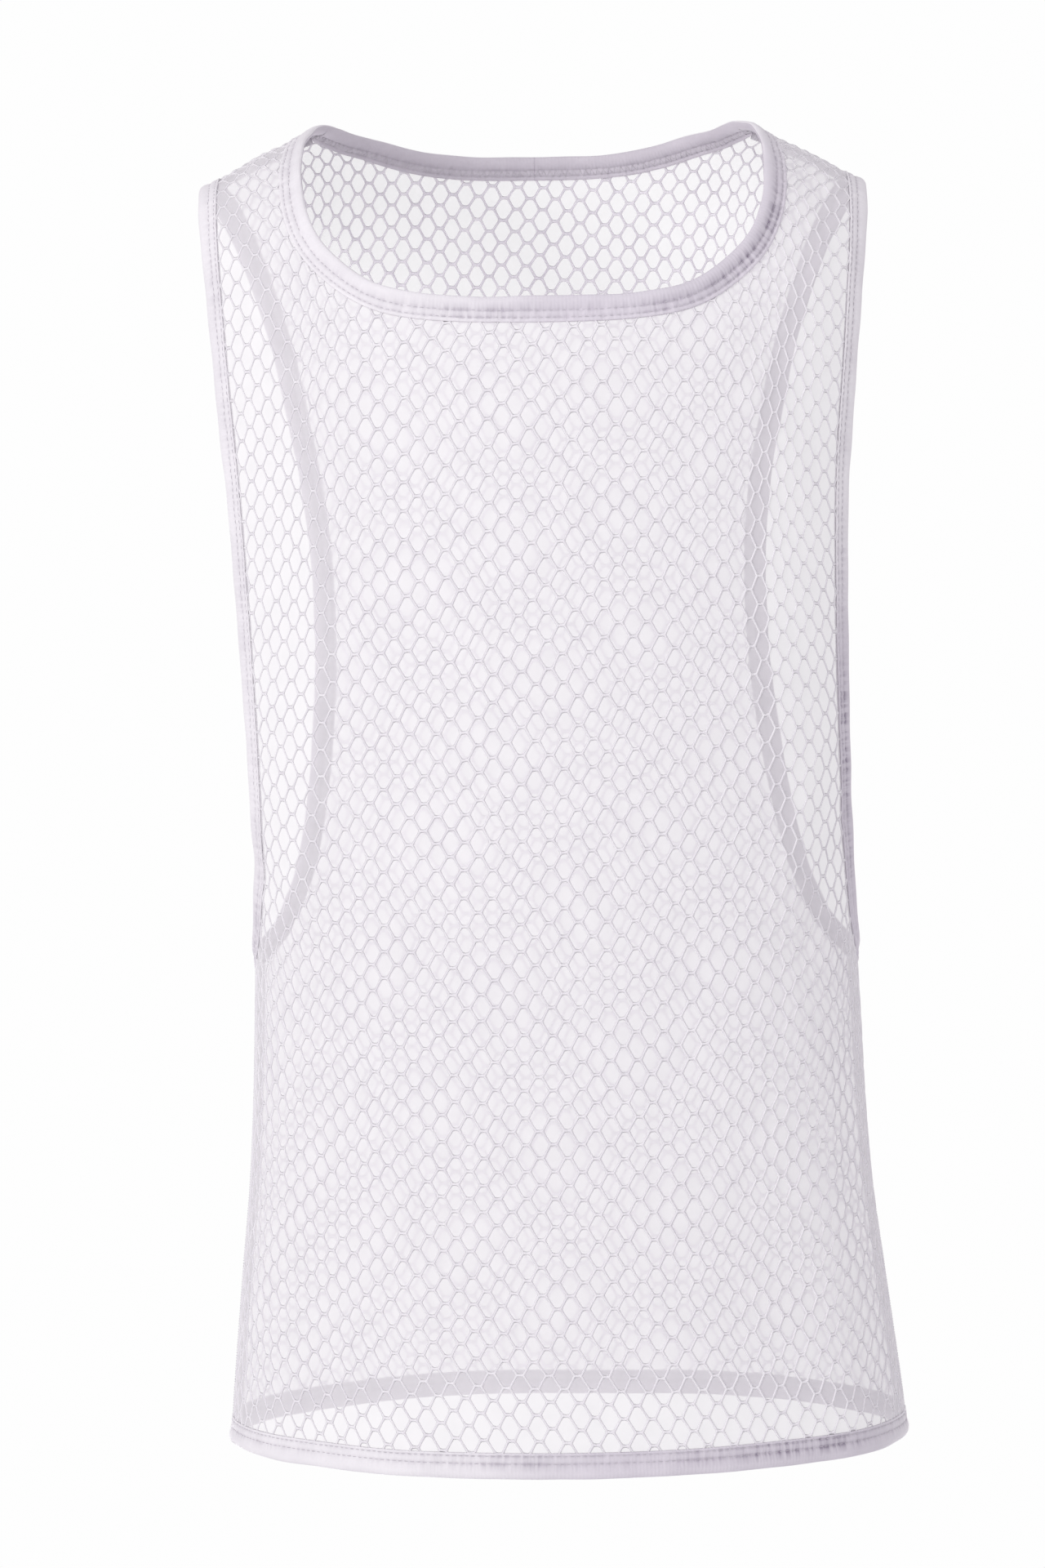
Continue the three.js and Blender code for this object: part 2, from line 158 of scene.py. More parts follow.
# A crease bends aside by so many millimetres, over so many radians in a half length, and fades at its ends
CREASE_BEND = 5
CREASE_WAVE = 1.7
CREASE_FADE = 1.2


def radians(degrees):
    return np.asarray(degrees, float) * math.pi / 180


def signed_power(value, power):
    return np.sign(value) * np.abs(value) ** power


def read(rows, key, value, at):
    """Column value where column key is at, on a smooth curve through the rows."""
    keys, values = rows[key], rows[value]
    last = len(keys) - 1
    before, after = np.maximum(np.arange(last + 1) - 1, 0), np.minimum(np.arange(last + 1) + 1, last)
    slope = (values[after] - values[before]) / (keys[after] - keys[before])
    at = np.asarray(at, float)
    i = np.clip(np.searchsorted(keys, at, side="right") - 1, 0, last - 1)
    run = keys[i + 1] - keys[i]
    t = np.clip((at - keys[i]) / run, 0, 1)
    t2, t3 = t * t, t * t * t
    return (
        (2 * t3 - 3 * t2 + 1) * values[i]
        + (t3 - 2 * t2 + t) * run * slope[i]
        + (3 * t2 - 2 * t3) * values[i + 1]
        + (t3 - t2) * run * slope[i + 1]
    )


def level(rise):
    return ARMPIT_Z + np.minimum(rise, 0)


def half_width(rise):
    t = np.maximum(rise, 0) / SHOULDER_RISE
    return read(SECTIONS, "z", "half", level(rise)) + SHOULDER_SPREAD * t * (2 - t)


def turn_of(x, rise):
    share = np.minimum(1, np.maximum(x, 0) / half_width(rise))
    return np.degrees(np.arcsin(share ** (read(SECTIONS, "z", "power", level(rise)) / 2)))


def fold(side, turn, z):
    depth = np.zeros_like(turn)
    for fold_side, middle, spread, deep, start, full in FOLDS:
        down = np.clip((start - z) / (start - full), 0, 1)
        down = down * down * (3 - 2 * down)
        depth += (side == fold_side) * deep * down * np.exp(-(((turn - middle) / spread) ** 2))
    return depth


def form(side, turn, rise):
    """Points of the form, in millimetres."""
    side, turn, rise = (np.array(a, float) for a in np.broadcast_arrays(side, turn, rise))
    z = level(rise)
    bend = 2 / read(SECTIONS, "z", "power", z)
    stands = np.where(side < 0, read(SECTIONS, "z", "front", z), read(SECTIONS, "z", "back", z))
    stands = stands + fold(side, turn, z)
    x = read(SECTIONS, "z", "middle", z) + half_width(rise) * signed_power(np.sin(radians(turn)), bend)
    y = side * stands * signed_power(np.cos(radians(turn)), bend)
    top = read(SHOULDER_LINE, "x", "z", np.abs(x))
    lift = radians(90 * np.maximum(rise, 0) / SHOULDER_RISE)
    y = np.where(rise < 0, y, SHOULDER_Y + (y - SHOULDER_Y) * np.cos(lift))
    z = np.where(rise < 0, z, ARMPIT_Z + (top - ARMPIT_Z) * np.sin(lift))
    return np.stack([x, y, z], -1)


def slopes(side, turn, rise):
    step = 0.05
    by_turn = (form(side, turn + step, rise) - form(side, turn - step, rise)) / (2 * step)
    by_rise = (form(side, turn, rise + step) - form(side, turn, rise - step)) / (2 * step)
    return by_turn, by_rise


def unit(vectors):
    return vectors / np.maximum(np.linalg.norm(vectors, axis=-1, keepdims=True), 1e-12)


def outward(side, turn, rise):
    by_turn, by_rise = slopes(side, turn, rise)
    return unit(np.cross(by_turn, by_rise) * -np.asarray(side, float)[..., None])


def dot(a, b):
    return (a * b).sum(-1)


def run_along(points):
    """The length along a line of points, at each of them."""
    return np.concatenate([[0], np.cumsum(np.linalg.norm(np.diff(points, axis=0), axis=1))])


def steps_round(points):
    """How far each point of a closed line is from the one before it."""
    return np.linalg.norm(points - np.roll(points, 1, 0), axis=1)


def vectors_at(at, length, vectors):
    return np.stack([np.interp(at, length, vectors[:, k]) for k in range(3)], -1)


def walk(line, heading, distance):
    """The line of places reached by going over the form in each place's heading."""
    side, turn, rise = (np.array(a, float) for a in line)
    hops = 6
    step = np.broadcast_to(np.asarray(distance, float), turn.shape)[:, None] / hops
    for _ in range(hops):
        by_turn, by_rise = slopes(side, turn, rise)
        normal = unit(np.cross(by_turn, by_rise))
        ahead = unit(heading - normal * dot(heading, normal)[:, None]) * step
        tt, tr, rr = dot(by_turn, by_turn), dot(by_turn, by_rise), dot(by_rise, by_rise)
        at, ar = dot(ahead, by_turn), dot(ahead, by_rise)
        turn = turn + (at * rr - ar * tr) / (tt * rr - tr * tr)
        rise = rise + (ar * tt - at * tr) / (tt * rr - tr * tr)
    return side, turn, rise


def crease(side, turn, rise):
    """How far the cloth stands out from the form, for its shallow creases."""
    lift = np.zeros(np.shape(turn))
    for crease_side, middle, height, heading, length, width, depth in CREASES:
        across, up = (turn - middle) * MM_PER_DEGREE, rise - height
        c, s = math.cos(math.radians(heading)), math.sin(math.radians(heading))
        along, beside = up * c + across * s, across * c - up * s
        beside = beside + CREASE_BEND * np.sin(along / length * CREASE_WAVE)
        fade = (along / length) ** 2 * CREASE_FADE + (beside / width) ** 2
        lift += (side == crease_side) * depth * np.exp(-fade)
    return lift


def ripple(*waves):
    """A smooth uneven wave round a closed length: rows of wavelength and phase, values from about -1 to 1."""

    def value(s, around):
        counts = ((round(around / length), phase) for length, phase in waves)
        total = sum(np.sin(2 * math.pi * s * count / around + phase) for count, phase in counts)
        return total / len(waves) ** 0.5

    return value


# ---- edges of the cloth
def joined(*lines):
    return tuple(np.concatenate(parts) for parts in zip(*lines))


def part(line, index):
    return tuple(values[index] for values in line)


def mirrored(line):
    side, turn, rise = line
    return side, -turn, rise


def evenly(side, rows, start, spacing):
    """Places from row start to the last row, evenly spaced over the form."""
    row = np.linspace(start, len(rows["row"]) - 1, 400)
    rise = read(rows, "row", "rise", row)
    turn = read(rows, "row", "turn", row) if "turn" in rows else turn_of(read(rows, "row", "x", row), rise)
    length = run_along(form(side, turn, rise))
    goal = np.linspace(0, length[-1], round(length[-1] / spacing) + 1)
    turn, rise = np.interp(goal, length, turn), np.interp(goal, length, rise)
    return np.full(len(goal), float(side)), turn, rise


def closed_edge(line, away_from):
    """A closed edge: its line, and for each place the direction into the cloth."""
    points = form(*line)
    tangent = unit(np.roll(points, -1, 0) - np.roll(points, 1, 0))
    inward = unit(np.cross(tangent, outward(*line)))
    inward *= np.where(dot(inward, points - away_from(points)) < 0, -1, 1)[:, None]
    side, turn, rise = line
    on_seam = (np.abs(rise - SHOULDER_RISE) < 1e-6) | (np.abs(np.abs(turn) - 90) < 1e-6)
    inward[on_seam, 1] = 0
    return {"line": line, "inward": unit(inward)}


def inset(edge, depth):
    return walk(edge["line"], edge["inward"], depth)


RING = 1.0  # millimetres between a binding's rings
# In each opening, a point that the cloth lies away from; the armhole's is its y and z
NECK_OPENING = (0, 0, 150.0)
ARM_OPENING = (20.0, -210.0)
HEM_PLACES = 158  # on a quarter of the hem
neck_front = evenly(FRONT, NECK[FRONT], 1, RING)
neck_back = evenly(BACK, NECK[BACK], 1, RING)
neck_half = joined(neck_front, part(neck_back, slice(-2, None, -1)))
neck_edge = closed_edge(
    joined(neck_half, mirrored(part(neck_half, slice(-2, 0, -1)))),
    lambda points: np.array(NECK_OPENING),
)
arm_front = evenly(FRONT, ARM[FRONT], 0, RING)
arm_back = evenly(BACK, ARM[BACK], 0, RING)
arm_edge = closed_edge(
    joined(arm_front, part(arm_back, slice(-2, 0, -1))),
    lambda points: np.stack([points[:, 0], *(np.full(len(points), at) for at in ARM_OPENING)], -1),
)


def hem_line(side):
    """The hem's edge on one side, from the centre line to the side seam, evenly spaced."""
    rise = HEM_Z - ARMPIT_Z
    turn = np.linspace(0, 90, 361)
    length = run_along(form(side, turn, rise))
    turn = np.interp(np.linspace(0, length[-1], HEM_PLACES), length, turn)
    return np.full(HEM_PLACES, float(side)), turn, np.full(HEM_PLACES, float(rise))


hem_half = joined(hem_line(FRONT), part(hem_line(BACK), slice(-2, None, -1)))
hem_edge = closed_edge(
    joined(hem_half, mirrored(part(hem_half, slice(-2, 0, -1)))),
    lambda points: points - np.array([0, 0, 1.0]),
)


# ---- making meshes
def add_object(name, data):
    made = bpy.data.objects.new(name, data)
    bpy.context.scene.collection.objects.link(made)
    return made


def merged(parts):
    """Several meshes, each its points and faces, as one."""
    firsts = np.cumsum([0] + [len(points) for points, _ in parts])
    faces = [faces + first for (_, faces), first in zip(parts, firsts)]
    return np.concatenate([points for points, _ in parts]), np.concatenate(faces)


def make_piece(name, points, faces, material, uv=None):
    """A smooth mesh from points in millimetres and faces of three or four corners, riding on the one body."""
    faces = np.asarray(faces, np.int32)
    corners = faces.shape[1]
    mesh = bpy.data.meshes.new(name)
    mesh.vertices.add(len(points))
    mesh.vertices.foreach_set("co", (np.asarray(points) * MM).astype(np.float32).ravel())
    mesh.loops.add(faces.size)
    mesh.loops.foreach_set("vertex_index", faces.ravel())
    mesh.polygons.add(len(faces))
    mesh.polygons.foreach_set("loop_start", np.arange(0, faces.size, corners, dtype=np.int32))
    mesh.update(calc_edges=True)
    mesh.validate()
    mesh.polygons.foreach_set("use_smooth", np.ones(len(mesh.polygons), bool))
    if uv is not None:
        layer = mesh.uv_layers.new(name="cloth")
        layer.data.foreach_set("uv", np.asarray(uv, np.float32)[faces.ravel()].ravel())
    piece = add_object(name, mesh)
    piece.data.materials.append(material)
    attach(piece, "root")
    return piece


def outwards(points, faces):
    """Faces turned so that the closed surface faces out."""
    triangles = faces if faces.shape[1] == 3 else np.concatenate([faces[:, :3], faces[:, [0, 2, 3]]])
    a, b, c = (points[triangles[:, k]] for k in range(3))
    return faces[:, ::-1] if dot(a, np.cross(b, c)).sum() < 0 else faces


def ring_faces(rings, across, close_rings=True):
    """Quads between rings of points, each ring closed on itself."""
    i = np.arange(rings if close_rings else rings - 1)[:, None]
    j = np.arange(across)[None, :]
    n, k = (i + 1) % rings, (j + 1) % across
    return np.stack([i * across + j, n * across + j, n * across + k, i * across + k], -1).reshape(-1, 4)


def tubes(paths, normals, radius, sides=6, taper=0.35):
    """Many short threads at once: paths and normals are (threads, points, 3); each thread's ends are thin."""
    count, length, _ = paths.shape
    tangent = unit(np.gradient(paths, axis=1))
    beside = unit(np.cross(tangent, normals))
    up = unit(np.cross(beside, tangent))
    size = radius * (1 - (1 - taper) * np.abs(np.linspace(-1, 1, length)) ** 4)
    angle = np.arange(sides) * 2 * math.pi / sides
    ring = beside[:, :, None] * np.cos(angle)[:, None] + up[:, :, None] * np.sin(angle)[:, None]
    points = (paths[:, :, None] + ring * size[None, :, None, None]).reshape(-1, 3)
    one = ring_faces(length, sides, close_rings=False)
    faces = (one[None] + (np.arange(count) * length * sides)[:, None, None]).reshape(-1, 4)
    return points, faces


# ---- materials
# Painted shade: a binding's inner face is darkened as if in shade inside the garment, the edges' more than
# the neck's
INNER_FACE_PAINTED_SHADE = {  # a binding's inner face against its outer one
    "neck": (0.72, 0.695, 0.735),
    "edge": (0.58, 0.55, 0.6),
}
BROAD_PAINTED_SHADE = (0.83, 0.805, 0.85)  # painted shade over a strip's whole width, at its darkest on one stretch
STITCH_PAINTED_SHADE = (0.36, 0.32, 0.40)  # painted shade in the stitch lines' grooves, at its darkest
# Where along a strip the painted shade is darkest: metres from its start, for where it begins and where it is
# full, at either end
PAINTED_SHADE_STRETCH = ((-0.09, 0.03), (0.26, 0.15))
PAINTED_SHADE_LEAST = 0.24  # the share of the painted shade that is left past each end
# Millimetres from the fold and how much painted shade lies there: at the two sewn lines and what lies between
# them
SEWN_PAINTED_SHADE_PROFILE = ((3.0, 0), (6.0, 0.4), (7.4, 1), (8.6, 0.35), (10.0, 0.35), (11.1, 0.9), (12.2, 0))
# The painted shade's streaks, as noise: how fine it is along and across, and the range of it that goes from
# the least share set below to 1
PAINTED_SHADE_STREAKS = (((420, 60, 1), 0.40, 0.62), ((13, 13, 1), 0.39, 0.55))
PAINTED_STREAK_LEAST = 0.2
SHEEN_ROUGHNESS = 0.45
GLOSS = 0.25
MOTTLED = (0.3, 0.62)  # the range of the noise that goes from shade to colour


def nodes_of(material):
    material.use_nodes = True
    tree = material.node_tree
    tree.nodes.clear()
    return tree.nodes, tree.links


def set_inputs(node, values):
    for name, value in values.items():
        node.inputs[name].default_value = value


def mixed(nodes, links, first, second, output):
    """Puts two shaders into an output, and gives the socket that says how much of it is the second."""
    mix = nodes.new("ShaderNodeMixShader")
    links.new(first.outputs[0], mix.inputs[1])
    links.new(second.outputs[0], mix.inputs[2])
    links.new(mix.outputs["Shader"], output.inputs["Surface"])
    return mix.inputs["Fac"]


def multiplied(nodes, links, tone, factor, by):
    """The colour tone, times by where factor is 1."""
    mix = nodes.new("ShaderNodeMixRGB")
    mix.blend_type = "MULTIPLY"
    mix.inputs["Color2"].default_value = (*by, 1)
    links.new(factor, mix.inputs["Fac"])
    links.new(tone, mix.inputs["Color1"])
    return mix.outputs["Color"]


def calculated(nodes, links, operation, first, second):
    """A Math node's value; second is a number or another node's output."""
    maths = nodes.new("ShaderNodeMath")
    maths.operation = operation
    links.new(first, maths.inputs[0])
    if isinstance(second, (int, float)):
        maths.inputs[1].default_value = second
    else:
        links.new(second, maths.inputs[1])
    return maths.outputs[0]


def scaled(nodes, links, coordinate, scale):
    """The coordinate, stretched by scale."""
    mapping = nodes.new("ShaderNodeMapping")
    mapping.inputs["Scale"].default_value = scale
    links.new(coordinate, mapping.inputs["Vector"])
    return mapping.outputs["Vector"]


def noise_over(nodes, links, coordinate, scale, detail):
    noise = nodes.new("ShaderNodeTexNoise")
    set_inputs(noise, {"Scale": scale, "Detail": detail})
    links.new(coordinate, noise.inputs["Vector"])
    return noise.outputs["Fac"]


def ranged(nodes, links, value, low, high, least, between="LINEAR"):
    """least where value is at low, 1 where it is at high, and a blend between them."""
    blend = nodes.new("ShaderNodeMapRange")
    blend.interpolation_type = between
    set_inputs(blend, {"From Min": low, "From Max": high, "To Min": least})
    links.new(value, blend.inputs["Value"])
    return blend.outputs["Result"]


def painted_strip_shade(nodes, links, place, tone, inner_painted_shade):
    """A folded strip's colour with painted shade: darker on its inner face, at its stitch lines and on one
    stretch.

    That shade is even across, with uneven streaks over it. UV's U runs along the strip and V across it from
    the fold, below 0 on the inner face, both in metres."""
    apart = nodes.new("ShaderNodeSeparateXYZ")
    links.new(place.outputs["UV"], apart.inputs[0])
    reverse = calculated(nodes, links, "LESS_THAN", apart.outputs["Y"], 0)
    tone = multiplied(nodes, links, tone, reverse, inner_painted_shade)
    width = calculated(nodes, links, "ABSOLUTE", apart.outputs["Y"], 0)
    width = calculated(nodes, links, "DIVIDE", width, BINDING_WIDTH * MM)
    groove_shade = nodes.new("ShaderNodeValToRGB")
    stops = groove_shade.color_ramp.elements
    stops.remove(stops[1])
    stops[0].position, stops[0].color = 0, (0, 0, 0, 1)
    for at, darkness in SEWN_PAINTED_SHADE_PROFILE:
        stops.new(at / BINDING_WIDTH).color = (darkness, darkness, darkness, 1)
    links.new(width, groove_shade.inputs["Fac"])
    streaked = groove_shade.outputs["Color"]
    for scale, low, high in PAINTED_SHADE_STREAKS:
        noise = noise_over(nodes, links, scaled(nodes, links, place.outputs["UV"], scale), 1.0, 2)
        streak = ranged(nodes, links, noise, low, high, PAINTED_STREAK_LEAST)
        streaked = calculated(nodes, links, "MULTIPLY", streaked, streak)
    ends = (
        ranged(nodes, links, apart.outputs["X"], start, full, PAINTED_SHADE_LEAST, "SMOOTHSTEP")
        for start, full in PAINTED_SHADE_STRETCH
    )
    stretched = calculated(nodes, links, "MULTIPLY", *ends)
    streaked = calculated(nodes, links, "MULTIPLY", streaked, stretched)
    broad = calculated(nodes, links, "MULTIPLY", stretched, stretched)
    tone = multiplied(nodes, links, tone, broad, BROAD_PAINTED_SHADE)
    return multiplied(nodes, links, tone, streaked, STITCH_PAINTED_SHADE)


def cloth_material(name, colour, shade, roughness, sheen, translucent, mottle, bumps, cover=1.0, sewn=None):
    """Cloth: a mottled pale colour, a fine bump, and some light that comes through from behind.

    cover is how much it hides of what lies behind it, and sewn is a folded strip's painted shade on its inner
    face."""
    material = bpy.data.materials.new(name)
    nodes, links = nodes_of(material)
    output = nodes.new("ShaderNodeOutputMaterial")
    surface = nodes.new("ShaderNodeBsdfPrincipled")
    set_inputs(surface, {"Roughness": roughness, "Sheen Weight": sheen, "Alpha": cover})
    set_inputs(surface, {"Sheen Roughness": SHEEN_ROUGHNESS, "Specular IOR Level": GLOSS})
    place = nodes.new("ShaderNodeTexCoord")

    noise = noise_over(nodes, links, place.outputs["Object"], mottle, 4)
    ramp = nodes.new("ShaderNodeValToRGB")
    ramp.color_ramp.elements[0].position, ramp.color_ramp.elements[1].position = MOTTLED
    ramp.color_ramp.elements[0].color = (*shade, 1)
    ramp.color_ramp.elements[1].color = (*colour, 1)
    links.new(noise, ramp.inputs["Fac"])
    # A folded strip gets painted shade: on its inner face, at its stitch lines and on one stretch
    tone = painted_strip_shade(nodes, links, place, ramp.outputs["Color"], sewn) if sewn else ramp.outputs["Color"]
    links.new(tone, surface.inputs["Base Color"])

    normal = None
    for kind, coordinate, scale, strength, distance in bumps:
        if kind == "noise":
            relief = noise_over(nodes, links, place.outputs[coordinate], scale[0], 3)
        else:
            wave = nodes.new("ShaderNodeTexWave")
            wave.wave_type, wave.bands_direction = "BANDS", "X"
            set_inputs(wave, {"Scale": 1.0, "Distortion": 0.6, "Detail": 1})
            links.new(scaled(nodes, links, place.outputs[coordinate], scale), wave.inputs["Vector"])
            relief = wave.outputs["Fac"]
        bump = nodes.new("ShaderNodeBump")
        set_inputs(bump, {"Strength": strength, "Distance": distance})
        links.new(relief, bump.inputs["Height"])
        if normal:
            links.new(normal, bump.inputs["Normal"])
        normal = bump.outputs["Normal"]
    if normal:
        links.new(normal, surface.inputs["Normal"])

    if not translucent:
        links.new(surface.outputs["BSDF"], output.inputs["Surface"])
        return material
    through = nodes.new("ShaderNodeBsdfTranslucent")
    links.new(tone, through.inputs["Color"])
    mixed(nodes, links, surface, through, output).default_value = translucent
    return material


NET = {
    side: cloth_material(
        "net_yarn_" + word,
        colour=(0.93, 0.915, 0.94), shade=(0.87, 0.85, 0.885),
        roughness=0.72, sheen=sheen, translucent=translucent, mottle=60,
        bumps=[("noise", "Object", (2600,), 0.35, 0.0002)],
    )
    for side, word, sheen, translucent in ((FRONT, "front", 0.5, 0.15), (BACK, "back", 0.7, 0.55))
}
FLUFF = {
    side: cloth_material(
        "fluff_" + word,
        colour=(0.87, 0.858, 0.872), shade=(0.83, 0.818, 0.834),
        roughness=1.0, sheen=0.0, translucent=0, mottle=90,
        bumps=[],
        cover=cover,
    )
    for side, word, cover in ((FRONT, "front", 0.66), (BACK, "back", 0.4))
}
# Each jersey carries painted shade on its inner face and at its stitch lines
JERSEY = {
    word: cloth_material(
        "jersey_" + word,
        colour=(0.95, 0.932, 0.955), shade=(0.885, 0.865, 0.893),
        roughness=0.62, sheen=0.18, translucent=0.12, mottle=45,
        bumps=[
            ("wave", "UV", (170, 12, 1), 0.35, 0.0002),
            ("wave", "UV", (12, 230, 1), 0.2, 0.00012),
            ("noise", "Object", (900,), 0.25, 0.0003),
        ],
        sewn=inner_painted_shade,
    )
    for word, inner_painted_shade in INNER_FACE_PAINTED_SHADE.items()
}
# Painted shade: the thread's colour is made dark to stand for the shadow in the stitches' grooves; the seams
# use it too
THREAD = cloth_material(
    "sewing_thread",
    colour=(0.68, 0.655, 0.695), shade=(0.58, 0.555, 0.595),
    roughness=0.5, sheen=0.2, translucent=0.1, mottle=300,
    bumps=[("noise", "Object", (3200,), 0.4, 0.00015)],
)


# ---- the net
COLUMN = 7.0  # millimetres between columns of holes, which are staggered by half a row
UNDER_BINDING = 2.0  # how far the net runs in under a binding
NET_EDGE = BINDING_WIDTH - UNDER_BINDING  # how far in from a finished edge the net ends
# Beside the armholes the net hangs lengthwise and its columns draw in: how far in all, and where, across
# the cloth
ARM_PULL = 17.0
PULL_FROM = 128.0
PULL_SPREAD = 26.0
# The height on the cloth that this is centred on, and how far up and down it reaches
PULL_MIDDLE = 20.0
PULL_REACH = 150.0
# How the net wanders, as waves: each one's height, its length across and up the cloth (for 1 radian), and how
# much the panel's seed shifts it
WANDER_ACROSS = ((4.5, math.inf, 130, 2.2), (0.6, math.inf, 31, 1), (0.4, 17, 13, 2))
WANDER_UP = ((5.0, 88, 160, 0.8), (0.7, 37, math.inf, 1.7), (0.4, 11, -19, 0))
# Each panel's row height, half the length of the knot between two holes of a column, and half a strand's
# width. The front hangs stretched, so its holes are longer
NETTING = {FRONT: (13.6, 1.6, 0.58), BACK: (12.9, 1.7, 0.66)}
# A hole is a hexagon whose corners an oval cuts off: the oval's width and height against the hexagon's,
# and how sharply the one turns into the other
OVAL = np.array([1.07, 1.056])
CUT_SHARPNESS = 12.0
TILE_PARTS = [3, 3, 2, 3, 3, 2]  # pieces that each side of the tile is divided into
KNOT_THICK = 0.45  # a knot's thickness against a strand's
GRID = (361, 304)  # places across and up that the cloth's lengths are worked out for
OUTLINE_PLACES = {"hem": 180, "seam": 150, "shoulder": 40}  # on half of a panel's outline


def tile_loops(side):
    """The strands' middle round one hole, the hole's rounded outline point by point, and the thickness."""
    row, knot, strand = NETTING[side]
    reach, half = COLUMN - knot, row / 2
    corners = np.array([(knot, half), (reach, 0), (knot, -half), (-knot, -half), (-reach, 0), (-knot, half)])
    middle = []
    thick = np.ones(sum(TILE_PARTS))
    for k, parts in enumerate(TILE_PARTS):
        start, end = corners[k], corners[(k + 1) % len(corners)]
        middle += [start + (end - start) * p / parts for p in range(parts)]
    middle = np.array(middle)
    thick[np.abs(middle[:, 0]) < knot + 0.01] = (1 + KNOT_THICK) / 2
    thick[np.abs(middle[:, 0]) < 0.01] = KNOT_THICK
    way = np.abs(unit(middle))
    slant = unit(np.array([half, reach - knot]))
    beside, above = reach * slant[0] - strand, half - strand
    hexagon = np.minimum(beside / (way @ slant), above / np.maximum(way[:, 1], 1e-6))
    oval = 1 / np.linalg.norm(way / (OVAL * (beside / slant[0], above)), axis=1)
    reached = (hexagon**-CUT_SHARPNESS + oval**-CUT_SHARPNESS) ** (-1 / CUT_SHARPNESS)
    return middle, unit(middle) * reached[:, None], thick


def cloth_tables(side):
    """Lengths over the cloth on a grid of places: across from the centre line and up from the armpit line."""
    turn = np.linspace(-90, 90, GRID[0])
    rise = np.linspace(HEM_Z - ARMPIT_Z, SHOULDER_RISE, GRID[1])
    points = form(side, turn[None, :], rise[:, None])
    across = np.zeros(points.shape[:2])
    across[:, 1:] = np.cumsum(np.linalg.norm(np.diff(points, axis=1), axis=2), axis=1)
    across -= across[:, [GRID[0] // 2]]
    up = np.zeros(points.shape[:2])
    up[1:] = np.cumsum(np.linalg.norm(np.diff(points, axis=0), axis=2), axis=0)
    zero = np.searchsorted(rise, 0)
    up -= up[zero - 1] + (up[zero] - up[zero - 1]) * (0 - rise[zero - 1]) / (rise[zero] - rise[zero - 1])
    return {"turn": turn, "rise": rise, "across": across, "up": up}


def on_grid(tables, turn, rise):
    """Both lengths at places, and how they change with turn and rise."""
    step_t, step_r = tables["turn"][1] - tables["turn"][0], tables["rise"][1] - tables["rise"][0]
    a = np.clip((turn - tables["turn"][0]) / step_t, 0, len(tables["turn"]) - 1.000001)
    b = np.clip((rise - tables["rise"][0]) / step_r, 0, len(tables["rise"]) - 1.000001)
    i, j = a.astype(int), b.astype(int)
    s, t = a - i, b - j
    values, changes = [], []
    for key in ("across", "up"):
        g = tables[key]
        g00, g10, g01, g11 = g[j, i], g[j, i + 1], g[j + 1, i], g[j + 1, i + 1]
        values.append((g00 * (1 - s) + g10 * s) * (1 - t) + (g01 * (1 - s) + g11 * s) * t)
        by_turn = ((g10 - g00) * (1 - t) + (g11 - g01) * t) / step_t
        by_rise = ((g01 - g00) * (1 - s) + (g11 - g10) * s) / step_r
        changes.append((by_turn, by_rise))
    return values, changes


def places_of(tables, flat):
    """The places whose lengths across and up are flat's, found step by step from a first guess."""
    guess = 2.4  # millimetres for a degree of turn
    steps = 14
    turn = np.clip(flat[:, 0] / guess, -89, 89)
    rise = np.clip(flat[:, 1], tables["rise"][0], tables["rise"][-1])
    for _ in range(steps):
        (across, up), ((at, ar), (ut, ur)) = on_grid(tables, turn, rise)
        da, du = flat[:, 0] - across, flat[:, 1] - up
        det = at * ur - ar * ut
        turn = np.clip(turn + (da * ur - du * ar) / det, -90, 90)
        rise = np.clip(rise + (du * at - da * ut) / det, tables["rise"][0], tables["rise"][-1])
    return turn, rise


def straight(turns, rises, count):
    return np.linspace(*turns, count), np.linspace(*rises, count)


def panel_outline(side, tables):
    """A panel's outline laid flat, a little way in under the bindings."""
    seam_turn = 89.93
    neck, arm = inset(neck_edge, NET_EDGE), inset(arm_edge, NET_EDGE)
    neck_count, arm_count = len(neck_front[0]), len(arm_front[0])
    if side == FRONT:
        neck_line, arm_line = part(neck, slice(0, neck_count)), part(arm, slice(0, arm_count))
    else:
        neck_line = part(neck, slice(neck_count + len(neck_back[0]) - 2, neck_count - 2, -1))
        arm_line = joined(part(arm, slice(0, 1)), part(arm, slice(len(arm[0]) - 1, arm_count - 2, -1)))
    hem_rise = HEM_Z - ARMPIT_Z + NET_EDGE
    hem = straight((0, seam_turn), (hem_rise, hem_rise), OUTLINE_PLACES["hem"])
    seam = straight((seam_turn, seam_turn), (hem_rise, arm_line[2][0]), OUTLINE_PLACES["seam"])
    arm = (np.clip(arm_line[1], 0, seam_turn), arm_line[2])
    neck = (np.clip(neck_line[1], 0, 90)[::-1], neck_line[2][::-1])
    top = SHOULDER_RISE - 0.2
    shoulder = straight((arm[0][-1], neck[0][0]), (top, top), OUTLINE_PLACES["shoulder"])
    turn, rise = (np.concatenate(parts) for parts in zip(hem, seam, arm, shoulder, neck))
    halves = []
    for half in (1, -1):
        (across, up), _ = on_grid(tables, half * turn, rise)
        halves.append(np.stack([across, up], -1)[::half])
    outline = np.concatenate(halves)
    keep = np.linalg.norm(outline - np.roll(outline, 1, 0), axis=1) > 1e-4
    return outline[keep]


